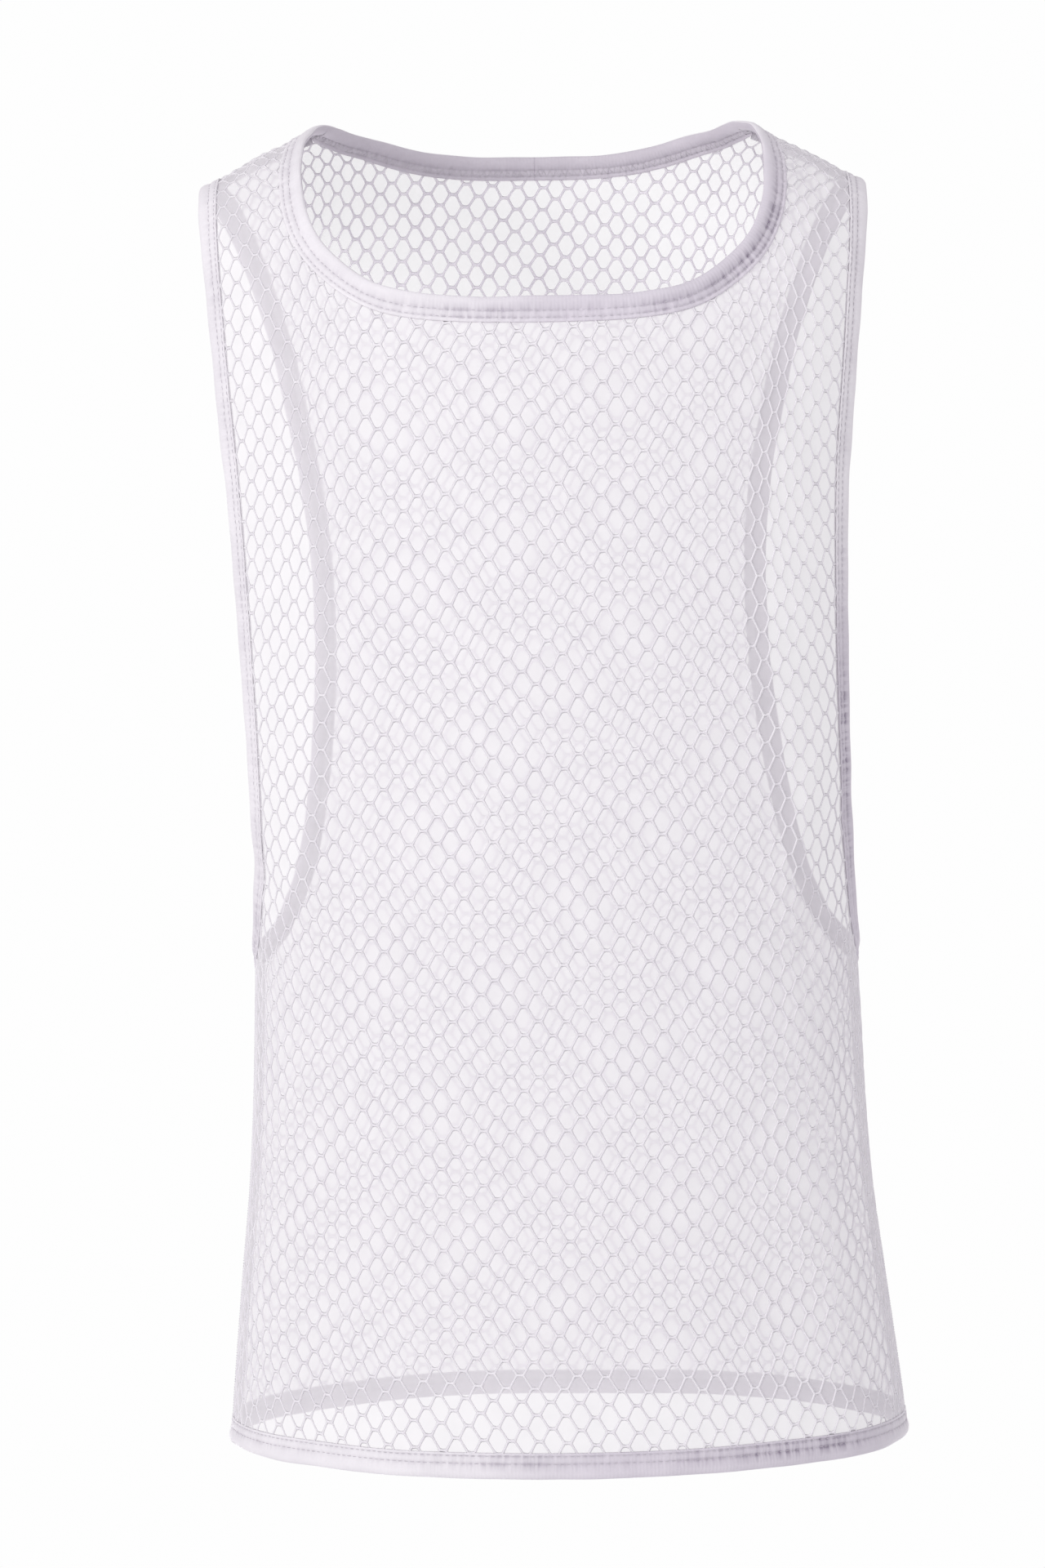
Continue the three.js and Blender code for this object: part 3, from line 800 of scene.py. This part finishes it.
def against(outline, flat):
    """Which flat points lie inside the outline, the nearest outline point to each, and how far it is."""
    start, end = outline, np.roll(outline, -1, 0)
    run = end - start
    inside = np.zeros(len(flat), bool)
    nearest = np.zeros_like(flat)
    distance = np.zeros(len(flat))
    batch = 4000
    for first in range(0, len(flat), batch):
        some = slice(first, first + batch)
        p = flat[some, None]
        crosses = (start[None, :, 1] > p[..., 1]) != (end[None, :, 1] > p[..., 1])
        height = np.where(run[:, 1] == 0, 1e-12, run[:, 1])
        where = start[None, :, 0] + (p[..., 1] - start[None, :, 1]) * (run[:, 0] / height)[None]
        inside[some] = (crosses & (p[..., 0] < where)).sum(1) % 2 == 1
        t = np.clip(((p - start[None]) * run[None]).sum(-1) / (run * run).sum(-1)[None], 0, 1)
        spot = start[None] + run[None] * t[..., None]
        gap = np.linalg.norm(p - spot, axis=-1)
        best = gap.argmin(1)
        nearest[some] = spot[np.arange(len(best)), best]
        distance[some] = gap[np.arange(len(best)), best]
    return inside, nearest, distance


def drawn_in(outline, flat, tested):
    """The flat points with those outside the outline moved onto it, and which ones those are."""
    inside, nearest, _ = against(outline, flat[tested])
    moved = np.zeros(len(flat), bool)
    moved[tested[~inside]] = True
    flat = flat.copy()
    flat[tested[~inside]] = nearest[~inside]
    return flat, moved


def wander(waves, u, v, seed):
    return sum(height * np.sin(u / wide + v / tall + shift * seed) for height, wide, tall, shift in waves)


def uneven(flat, seed):
    """The net's own unevenness: every hole sits a little off its place."""
    u, v = flat[:, 0], flat[:, 1]
    beside_arm = np.exp(-(((v - PULL_MIDDLE) / PULL_REACH) ** 4))
    drawn = ARM_PULL * beside_arm * (1 + np.tanh((np.abs(u) - PULL_FROM) / PULL_SPREAD)) / 2
    across = wander(WANDER_ACROSS, u, v, seed) - np.sign(u) * drawn
    return flat + np.stack([across, wander(WANDER_UP, u, v, seed)], -1)


def net_panel(side, name, seed):
    """One panel of net: rounded strands round every hole, thin where they go in under a binding."""
    tables = cloth_tables(side)
    outline = panel_outline(side, tables)
    middle, hole, thick = tile_loops(side)
    row = NETTING[side][0]
    low, high = outline.min(0) - row - ARM_PULL, outline.max(0) + row + ARM_PULL
    columns = np.arange(math.floor(low[0] / COLUMN), math.ceil(high[0] / COLUMN) + 1)
    rows = np.arange(math.floor(low[1] / row), math.ceil(high[1] / row) + 1)
    c, r = (a.ravel() for a in np.meshgrid(columns, rows, indexing="ij"))
    centres = np.stack([c * COLUMN, r * row + (c % 2) * row / 2], -1)
    inside, _, distance = against(outline, uneven(centres, seed))
    wanted = inside | (distance < row)
    centres, by_edge = centres[wanted], (~inside | (distance < row * 0.75))[wanted]

    count = len(middle)
    grid = (centres[:, None] + middle[None]).reshape(-1, 2)
    keys, number = np.unique(np.round(grid, 3), axis=0, return_inverse=True)
    number = number.reshape(-1, count)
    keys, holes = uneven(keys, seed), uneven((centres[:, None] + hole[None]).reshape(-1, 2), seed)
    tested = np.unique(number[by_edge])
    keys, open_edge = drawn_in(outline, keys, tested)
    kept = ~open_edge[number].all(1)
    number, by_edge = number[kept], by_edge[kept]
    holes = holes.reshape(-1, count, 2)[kept].reshape(-1, 2)
    holes, _ = drawn_in(outline, holes, np.flatnonzero(np.repeat(by_edge, count)))
    used, number = np.unique(number, return_inverse=True)
    number = number.reshape(-1, count)
    keys, open_edge = keys[used], open_edge[used]
    lift = np.empty(len(keys))
    lift[number] = thick * NET_THICK / 2

    flat = np.concatenate([keys, holes])
    turn, rise = places_of(tables, flat)
    line = (np.full(len(turn), float(side)), turn, rise)
    normal = outward(*line)
    points = form(*line) + normal * crease(*line)[:, None]
    m = len(keys)
    above = points[:m] + normal[:m] * np.where(open_edge, 0, lift)[:, None]
    below = points[:m] - normal[:m] * lift[:, None]
    bottom_number = np.arange(m)
    bottom_number[~open_edge] = len(points) + np.arange((~open_edge).sum())
    everything = np.concatenate([above, points[m:], below[~open_edge]])

    top = number
    bottom = bottom_number[number]
    rim = m + np.arange(len(number) * count).reshape(-1, count)
    after = np.roll(np.arange(count), -1)
    has_wall = ~(open_edge[number] & open_edge[number[:, after]])
    quads = np.concatenate(
        [
            np.stack([top, top[:, after], rim[:, after], rim], -1)[has_wall],
            np.stack([rim, rim[:, after], bottom[:, after], bottom], -1)[has_wall],
        ]
    )
    net = make_piece("net_" + name, everything, outwards(everything, quads), NET[side])
    # A sheer film over every hole stands for the yarn's finest fibres
    fluff = make_piece("fluff_" + name, points[m:], rim - m, FLUFF[side])
    return net, fluff


# ---- the bindings
# A binding is a strip of jersey folded over the net's edge. Its section goes from the outer face's sewn
# edge over the fold to the inner face's sewn edge, and back inside, where the net lies: how far into the
# cloth, and how far out
FACE = table(
    "into out",
    [(0, 0.0), (0.35, 0.85), (1.2, 1.5), (2.6, 2.05), (4.6, 2.0), (6.4, 1.35), (7.6, 1.2), (13, 1.05)],
)
WALL = 0.7
FIRST_LINE = 7.5  # where the first stitch line lies across the UV map
# Where the section has its points: near the fold and the free edge, beside either stitch line, and inside
FREE_AND_FOLD = (BINDING_WIDTH, 12.75, 12.2, 4.2, 2.4, 1.1, 0.35)
BESIDE_LINES = ((-1.2, -0.45, 0, 0.4, 1.0), (-1.1, -0.45, 0, 0.4, 0.9))
INSIDE = (BINDING_WIDTH - 0.02, 8.0, 2.4)
INNER_FOLD = 1.1
INNER_LEAST = 0.12  # how far apart from the net the inside stays
# From LIP_FROM on, the free edge turns down by LIP_DROP over LIP_RUN
LIP_FROM = 12.6
LIP_DROP = 0.35
LIP_RUN = 0.4
# A stitch line sinks into the cloth, and the cloth puckers beside it: how deep, and how far to either side
GROOVE_DEPTH = 0.62
GROOVE_WIDTH = 0.6
PUCKER_WIDTH = 1.7
INNER_PUCKER = 0.6  # the inner face's puckers against the outer one's
FOLD_DRIFT = 0.22  # how far the fold wanders, dying out DRIFT_REACH into the cloth
DRIFT_REACH = 9
# Uneven waves along a binding: wavelengths in millimetres, and phases
PUCKER = ripple((6.1, 0.4), (9.7, 2.1), (4.3, 1.1), (23.0, 3.0))
TUCK = ripple((3.6, 0.9), (5.3, 2.4), (41.0, 1.2))
DRIFT = ripple((88.0, 0.3), (143.0, 1.9), (57.0, 0.8))
ROLL = ripple((61.0, 1.4), (97.0, 0.2), (33.0, 2.2))


def face_out(into, s, lines, pucker):
    """How far a binding's face stands out: sunk at the stitch lines, swollen and puckered between them."""
    out = np.interp(into, FACE["into"], FACE["out"])
    for k, at in enumerate(lines):
        out = out - GROOVE_DEPTH * np.exp(-(((into - at) / GROOVE_WIDTH) ** 2))
        wrinkle = np.exp(-(((into - at) / PUCKER_WIDTH) ** 2))
        out = out + pucker * wrinkle * (PUCKER(s + 37 * k, s[-1]) + 0.6 * TUCK(s + 11 * k, s[-1]))
    return out


def binding(name, edge, lines, mirror, pucker, roll, jersey):
    """A folded strip of one jersey round a closed edge. roll leans its free edge inwards, in millimetres."""
    s = np.cumsum(steps_round(form(*edge["line"])))
    beside = [line + off for line, offsets in zip(lines, BESIDE_LINES) for off in offsets]
    across = sorted({*FREE_AND_FOLD, *beside}, reverse=True)
    section = [(into, 1, 1.0) for into in across] + [(0, 0, 0)]
    section += [(into, -1, 1.0) for into in reversed(across)]
    section += [(into, -1, WALL) for into in INSIDE] + [(INNER_FOLD, 0, 0)]
    section += [(into, 1, WALL) for into in reversed(INSIDE)]
    rings, uv = [], []
    # U is wrapped to run from minus half to half the strip's length, and the other way on a mirrored strip,
    # which moves where its painted shade falls
    along = ((s / s[-1] + 0.5) % 1 - 0.5) * s[-1] * (-1 if mirror else 1)
    drift = FOLD_DRIFT * DRIFT(s, s[-1])
    for into, face, share in section:
        depth = np.clip(into - drift * max(0, 1 - into / DRIFT_REACH), 0, None)
        line = inset(edge, depth) if into > 0 else inset(edge, np.clip(-drift, 0, None) + 1e-4)
        if mirror:
            line = mirrored(line)
        normal = outward(*line)
        out = face_out(min(into, LIP_FROM), s, lines, pucker if face > 0 else INNER_PUCKER * pucker)
        if into > LIP_FROM:
            out = out - LIP_DROP * (into - LIP_FROM) / LIP_RUN
        if share < 1:
            out = np.maximum(out - WALL, INNER_LEAST)
        lean = roll * (1 + 0.6 * ROLL(s, s[-1])) * np.clip(1 - into / (lines[0] - 0.5), 0, 1) ** 1.6
        rings.append(form(*line) + normal * (face * out + crease(*line) - lean)[:, None])
        uv.append(np.stack([along * MM, np.full(len(s), face * into * FIRST_LINE / lines[0] * MM)], -1))
    rings = np.stack(rings, 1)
    count, width = rings.shape[:2]
    everything = rings.reshape(-1, 3)
    faces = outwards(everything, ring_faces(count, width))
    return make_piece(name, everything, faces, jersey, uv=np.stack(uv, 1).reshape(-1, 2))


def rail(edge, into, mirror, lines, pucker, face):
    """A closed line on a binding's face: length along it, points and outward directions."""
    line = inset(edge, into)
    if mirror:
        line = mirrored(line)
    s = np.cumsum(steps_round(form(*edge["line"])))
    normal = outward(*line)
    out = face_out(into, s, lines, pucker if face > 0 else INNER_PUCKER * pucker)
    points = form(*line) + normal * (face * out + crease(*line))[:, None]
    points, normal = np.concatenate([points, points[:1]]), np.concatenate([normal, normal[:1]]) * face
    return run_along(points), points, normal


def on_rail(track, at):
    length, points, normal = track
    at = np.mod(at, length[-1])
    return vectors_at(at, length, points), unit(vectors_at(at, length, normal))


STITCH = 3.3  # millimetres from one stitch to the next
THREAD_RADIUS = 0.2
STITCH_GAP = 0.8  # the part of a stitch's length where the thread is under the cloth
# How high a stitch bulges and how deep its ends sink, and how far off the inner thread lies and bulges
BULGE = 0.3
SUNK = 0.1
INNER_OFF = 0.22
INNER_BULGE = 0.45


def stitching(name, edge, lines, mirror=False, pucker=0.16):
    """Twin-needle stitching: two straight rows outside, and the looper's thread to and fro inside."""
    threads = []
    for k, into in enumerate(lines):
        track = rail(edge, into, mirror, lines, pucker, 1)
        count = round(track[0][-1] / STITCH)
        start = (np.arange(count) + 0.5 * k) * track[0][-1] / count
        t = np.linspace(0, 1, 5)
        p, n = on_rail(track, start[:, None] + t[None] * (STITCH - STITCH_GAP))
        p = p + n * (BULGE * np.sin(math.pi * t) ** 0.7 - SUNK)[None, :, None]
        threads.append(tubes(p, n, THREAD_RADIUS))
    tracks = [rail(edge, into, mirror, lines, pucker, -1) for into in lines]
    count = round(tracks[0][0][-1] / STITCH)
    share = np.arange(count * 2 + 1) / (count * 2)
    knots = np.empty((len(share), 3))
    lifts = np.empty((len(share), 3))
    for k, track in enumerate(tracks):
        p, n = on_rail(track, share[k::2] * track[0][-1])
        knots[k::2], lifts[k::2] = p, n
    t = np.linspace(0, 1, 4)[None, :, None]
    zigzag = knots[:-1, None] * (1 - t) + knots[1:, None] * t
    up = unit(lifts[:-1, None] * (1 - t) + lifts[1:, None] * t)
    zigzag = zigzag + up * (INNER_OFF + INNER_BULGE * np.sin(math.pi * t))
    threads.append(tubes(zigzag, up, THREAD_RADIUS, sides=5, taper=0.8))
    return make_piece(name, *merged(threads), THREAD)


# ---- the seams
SEAM_STEP = 2.0
SEAM_HALF = (1.1, 2.5)  # half the seam's width, and half of how far it stands in
SEAM_MIDDLE = 1.7  # how far inside the cloth's middle the seam's own middle is
SEAM_SIDES = 10
SEAM_ENDS = np.array([[0, 1, 2, 3], [0, 3, 4, 9], [9, 4, 5, 8], [8, 5, 6, 7]])
WRAP = 1.4  # millimetres from one turn of the wrapping thread to the next
WRAP_HALF = (1.22, 2.66)
WRAP_RADIUS = 0.19
WRAP_ENDS = (0.5, 2.5)  # how far from the seam's start and end the first and last turns begin


def seam(name, line, normal):
    """An overlocked seam along an open line of places: the two raw edges together, wrapped in thread."""
    points = form(*line)
    length = run_along(points)
    count = round(length[-1] / SEAM_STEP)
    at = np.linspace(0, length[-1], count * 2 + 1)
    p = vectors_at(at, length, points)
    n = unit(vectors_at(at, length, normal))
    tangent = unit(np.gradient(p, axis=0))
    beside = unit(np.cross(tangent, n))
    angle = np.arange(SEAM_SIDES) * 2 * math.pi / SEAM_SIDES
    swell = 1 + 0.07 * np.sin(at * 3.1) + 0.05 * np.sin(at * 0.9)
    wide, deep = (half * swell for half in SEAM_HALF)
    core = p + n * SEAM_MIDDLE
    ring = beside[:, None] * (np.cos(angle)[None] * wide[:, None])[..., None]
    ring = ring + n[:, None] * (np.sin(angle)[None] * deep[:, None])[..., None]
    body = (core[:, None] + ring).reshape(-1, 3)
    body_faces = ring_faces(len(p), SEAM_SIDES, close_rings=False)
    last_ring = (len(p) - 1) * SEAM_SIDES
    body_faces = np.concatenate([body_faces, SEAM_ENDS[:, ::-1], SEAM_ENDS + last_ring])

    turns = np.linspace(0, 2 * math.pi, 9)
    starts = np.linspace(WRAP_ENDS[0], length[-1] - WRAP_ENDS[1], round(length[-1] / WRAP))
    along = starts[:, None] + turns[None] / (2 * math.pi) * WRAP
    centre = vectors_at(along, at, core)
    out, across = (unit(vectors_at(along, at, vectors)) for vectors in (n, beside))
    radial = across * (np.cos(turns) * WRAP_HALF[0])[None, :, None]
    radial = radial + out * (np.sin(turns) * WRAP_HALF[1])[None, :, None]
    wrapping = tubes(centre + radial, unit(radial), WRAP_RADIUS, sides=5, taper=1.0)
    return make_piece(name, *merged([(body, body_faces), wrapping]), THREAD)


# ---- camera, light, floor
CAMERA_AT = (-0.009, -1.75, -0.33)
CAMERA_LEAN = -0.012  # radians
LENS = 76.3
LAMP_COLOUR = (1.0, 0.985, 1.0)
# Each lamp's name, place, the point that it faces, its width and height, and its power
LAMPS = (
    ("side_fill", (1.3, -0.9, 0.0), (0, 0, -0.3), (0.8, 0.8), 2.2),
    ("top_light", (-0.45, -1.1, 0.6), (0, 0, -0.05), (0.6, 0.6), 1.8),
    ("backdrop_glow", (0.0, 1.9, -1.3), (0, 0, -0.4), (2.4, 1.4), 45),
)
FLOOR_RADIUS = 1.7
FLOOR_Z = -1.45
FLOOR_SIDES = 96


def set_camera():
    """A level view from in front, at about the garment's middle height, leaning by under a degree."""
    data = bpy.data.cameras.new("camera")
    data.lens = LENS
    data.sensor_width = 36
    data.clip_end = 50
    camera = add_object("camera", data)
    upright = Matrix.Rotation(math.pi / 2, 4, "X")
    camera.matrix_world = Matrix.Translation(CAMERA_AT) @ upright @ Matrix.Rotation(CAMERA_LEAN, 4, "Z")
    bpy.context.scene.camera = camera


def add_light(name, kind, power, colour, turned, at=(0, 0, 0)):
    data = bpy.data.lights.new(name, kind)
    data.energy = power
    data.color = colour
    light = add_object(name, data)
    light.matrix_world = Matrix.Translation(at) @ turned.to_matrix().to_4x4()
    return light


def lamp(name, at, towards, size, power):
    """A soft light at a place, which the camera doesn't see."""
    direction = Vector((np.array(towards) - np.array(at)).tolist())
    light = add_light(name, "AREA", power, LAMP_COLOUR, direction.to_track_quat("-Z", "Y"), at)
    light.data.shape = "RECTANGLE"
    light.data.size, light.data.size_y = size
    light.visible_camera = False


def sun_light(name, comes_from, strength, width, colour):
    """Even light from one direction; width is how many degrees of the sky it fills."""
    light = add_light(name, "SUN", strength, colour, Vector(comes_from).to_track_quat("Z", "Y"))
    light.data.angle = math.radians(width)


def set_light():
    """A pale surround that the camera sees as white, a broad sun from the left in front, and the lamps."""
    world = bpy.data.worlds.new("studio")
    bpy.context.scene.world = world
    nodes, links = nodes_of(world)
    output = nodes.new("ShaderNodeOutputWorld")
    path = nodes.new("ShaderNodeLightPath")
    fill, seen = nodes.new("ShaderNodeBackground"), nodes.new("ShaderNodeBackground")
    set_inputs(fill, {"Color": (0.985, 0.955, 1.0, 1), "Strength": 0.7})
    set_inputs(seen, {"Color": (1, 1, 1, 1), "Strength": 0.99})
    links.new(path.outputs["Is Camera Ray"], mixed(nodes, links, fill, seen, output))
    sun_light("key", (-0.7, -0.7, 0.0), 1.12, 20, (1.0, 0.99, 0.985))
    for row in LAMPS:
        lamp(*row)


def set_floor():
    mesh = bpy.data.meshes.new("floor")
    around = np.arange(FLOOR_SIDES) * 2 * math.pi / FLOOR_SIDES
    points = [(FLOOR_RADIUS * math.cos(a), FLOOR_RADIUS * math.sin(a), FLOOR_Z) for a in around]
    mesh.from_pydata(points, [], [list(range(FLOOR_SIDES))])
    floor = add_object("floor", mesh)
    material = bpy.data.materials.new("pale_floor")
    nodes, links = nodes_of(material)
    surface, output = nodes.new("ShaderNodeBsdfPrincipled"), nodes.new("ShaderNodeOutputMaterial")
    set_inputs(surface, {"Base Color": (0.93, 0.93, 0.94, 1), "Roughness": 0.8})
    links.new(surface.outputs["BSDF"], output.inputs["Surface"])
    mesh.materials.append(material)


# ---- the garment
set_camera()
set_light()
set_floor()
bpy.context.scene.view_settings.view_transform = "Standard"

net_front, fluff_front = net_panel(FRONT, "front", 0.6)
net_back, fluff_back = net_panel(BACK, "back", 2.3)

NECK_LINES = (7.2, 10.8)
EDGE_LINES = (7.8, 11.5)
# The least flat area that a sheet may state, as a share of its width times its length. The net's strands
# cover less than this (about 0.22) and its whole cut, holes and all, about 0.69
for name, node, edge, lines, mirror, pucker, roll in (
    ("neck", "neck_binding", neck_edge, NECK_LINES, False, 0.34, -0.9),
    ("armhole_left", "armhole_binding_left", arm_edge, EDGE_LINES, False, 0.2, 0.5),
    ("armhole_right", "armhole_binding_right", arm_edge, EDGE_LINES, True, 0.2, 0.5),
    ("hem", "hem_binding", hem_edge, EDGE_LINES, False, 0.24, 0.9),
):
    jersey = JERSEY["neck" if name == "neck" else "edge"]
    strip = binding("binding_" + name, edge, lines, mirror, pucker, roll, jersey)
    thread = stitching("stitches_" + name, edge, lines, mirror, pucker)
    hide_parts(node)
    length = float(steps_round(form(*inset(edge, BINDING_WIDTH / 2))).sum()) * MM

SIDE_PLACES = 140
STRAP_PLACES = 60


def shoulder_x(edge, front):
    """Where an edge, drawn in to where the net ends, meets the shoulder line."""
    return form(*part(inset(edge, NET_EDGE), [len(front[0]) - 1]))[0, 0]


seam_rise = np.linspace(HEM_Z - ARMPIT_Z + NET_EDGE, float(arm_front[2][0]) - NET_EDGE, SIDE_PLACES)
seams = []
for sign, word in ((1, "left"), (-1, "right")):
    side_line = (np.full(SIDE_PLACES, float(FRONT)), np.full(SIDE_PLACES, sign * 90.0), seam_rise)
    seams.append(seam("side_seam_" + word, side_line, np.tile([-sign, 0.0, 0.0], (SIDE_PLACES, 1))))
    x = np.linspace(shoulder_x(neck_edge, neck_front), shoulder_x(arm_edge, arm_front), STRAP_PLACES)
    rise = np.full(STRAP_PLACES, SHOULDER_RISE)
    strap = (np.full(STRAP_PLACES, float(FRONT)), sign * turn_of(x, rise), rise)
    seams.append(seam("shoulder_seam_" + word, strap, -outward(*strap)))

for panel, fluff, extra, node, side in (
    (net_front, fluff_front, seams, "front_panel", FRONT),
    (net_back, fluff_back, [], "back_panel", BACK),
):
    outline = panel_outline(side, cloth_tables(side))
    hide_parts(node)
